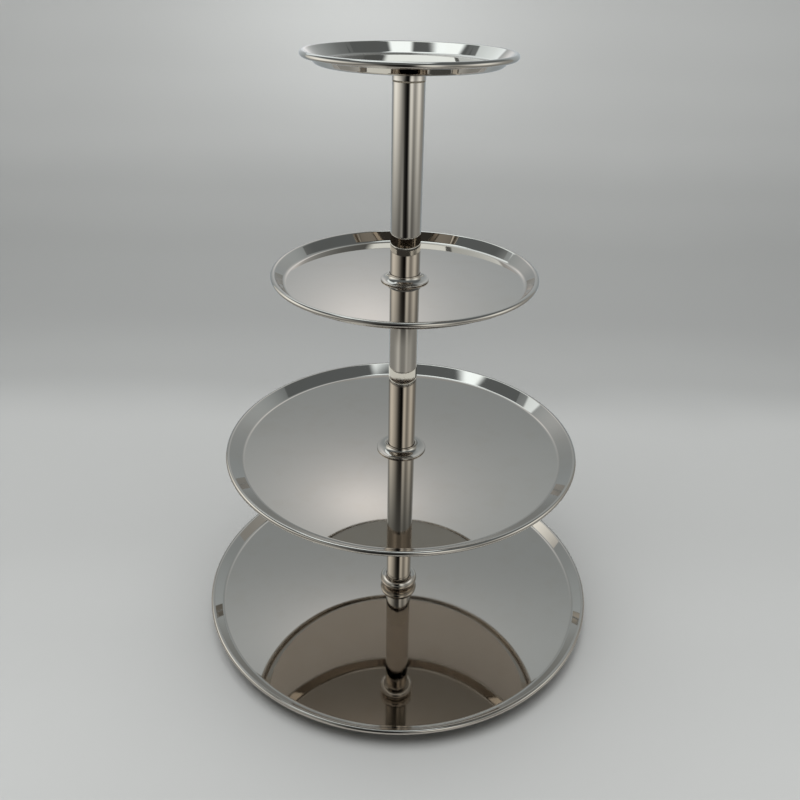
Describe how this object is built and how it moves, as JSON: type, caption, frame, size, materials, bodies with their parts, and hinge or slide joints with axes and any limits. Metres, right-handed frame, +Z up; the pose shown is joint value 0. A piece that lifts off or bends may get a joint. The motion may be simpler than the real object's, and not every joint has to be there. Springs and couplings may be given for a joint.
{
  "type": "tiered cake stand",
  "caption": "Tiered serving stand: round mirror-polished trays with raised borders on a central column that screws together between the trays.",
  "frame": {"origin": "on the table plane, at the centre of the stand's footprint, under the column's axis", "axes": "+Z up along the column, from the feet to the top tray; +X to the right and -Y to the front, and the trays are round about Z"},
  "size_m": [0.3358, 0.3358, 0.4585],
  "materials": {
    "polished_plate": "mirror-polished nickel and silver-coloured plate, faint wiping marks",
    "turned_steel": "turned and threaded steel, bright zinc",
    "fibre": "pale pressed fibre washer",
    "rubber_foot": "matt black rubber"
  },
  "bodies": {
    "base": {"bottom_tray": "polished_plate", "foot_1": "rubber_foot", "foot_2": "rubber_foot", "foot_3": "rubber_foot", "foot_4": "rubber_foot", "base_screw": "turned_steel", "base_washer": "turned_steel"},
    "lower_collar": {"lower_collar": "polished_plate"},
    "lower_section": {"lower_tube": "polished_plate", "lower_foot_insert": "turned_steel", "lower_head_insert": "turned_steel", "lower_stud": "turned_steel", "lower_support_ring": "polished_plate"},
    "second_tray": {"second_tray": "polished_plate", "second_tray_washer": "fibre"},
    "middle_collar": {"middle_collar": "polished_plate"},
    "middle_section": {"middle_tube": "polished_plate", "middle_foot_insert": "turned_steel", "middle_head_insert": "turned_steel", "middle_stud": "turned_steel", "middle_support_ring": "polished_plate"},
    "third_tray": {"third_tray": "polished_plate", "third_tray_washer": "fibre"},
    "upper_collar": {"upper_collar": "polished_plate"},
    "upper_section": {"upper_tube": "polished_plate", "upper_foot_insert": "turned_steel", "upper_head_insert": "turned_steel"},
    "top_washer": {"top_tray_washer": "fibre"},
    "top_tray": {"top_tray": "polished_plate", "top_tray_spigot": "polished_plate"}
  },
  "joints": [
    {"name": "lower_section_turn", "type": "hinge", "parent": "base", "child": "lower_collar", "pos_m": [0, 0, 0.00992], "axis": [0, 0, 1], "range_deg": [0, 2160]},
    {"name": "lower_section_rise", "type": "slide", "parent": "lower_collar", "child": "lower_section", "axis": [0, 0, 1], "range_m": [0, 0.0075]},
    {"name": "second_tray_turn", "type": "hinge", "parent": "lower_section", "child": "second_tray", "pos_m": [0, 0, 0.15688], "axis": [0, 0, 1], "continuous": true},
    {"name": "middle_section_turn", "type": "hinge", "parent": "lower_section", "child": "middle_collar", "pos_m": [0, 0, 0.15688], "axis": [0, 0, 1], "range_deg": [0, 2160]},
    {"name": "middle_section_rise", "type": "slide", "parent": "middle_collar", "child": "middle_section", "axis": [0, 0, 1], "range_m": [0, 0.0075]},
    {"name": "third_tray_turn", "type": "hinge", "parent": "middle_section", "child": "third_tray", "pos_m": [0, 0, 0.30384], "axis": [0, 0, 1], "continuous": true},
    {"name": "upper_section_turn", "type": "hinge", "parent": "middle_section", "child": "upper_collar", "pos_m": [0, 0, 0.30384], "axis": [0, 0, 1], "range_deg": [0, 2160]},
    {"name": "upper_section_rise", "type": "slide", "parent": "upper_collar", "child": "upper_section", "axis": [0, 0, 1], "range_m": [0, 0.0075]},
    {"name": "top_tray_turn", "type": "hinge", "parent": "upper_section", "child": "top_washer", "pos_m": [0, 0, 0.4508], "axis": [0, 0, 1], "range_deg": [0, 2160]},
    {"name": "top_tray_rise", "type": "slide", "parent": "top_washer", "child": "top_tray", "axis": [0, 0, 1], "range_m": [0, 0.0075]}
  ],
  "couplings": [
    {"joint": "lower_section_turn", "follows": "lower_section_rise", "rad_per_m": 5026.5},
    {"joint": "middle_section_turn", "follows": "middle_section_rise", "rad_per_m": 5026.5},
    {"joint": "upper_section_turn", "follows": "upper_section_rise", "rad_per_m": 5026.5},
    {"joint": "top_tray_turn", "follows": "top_tray_rise", "rad_per_m": 5026.5}
  ]
}
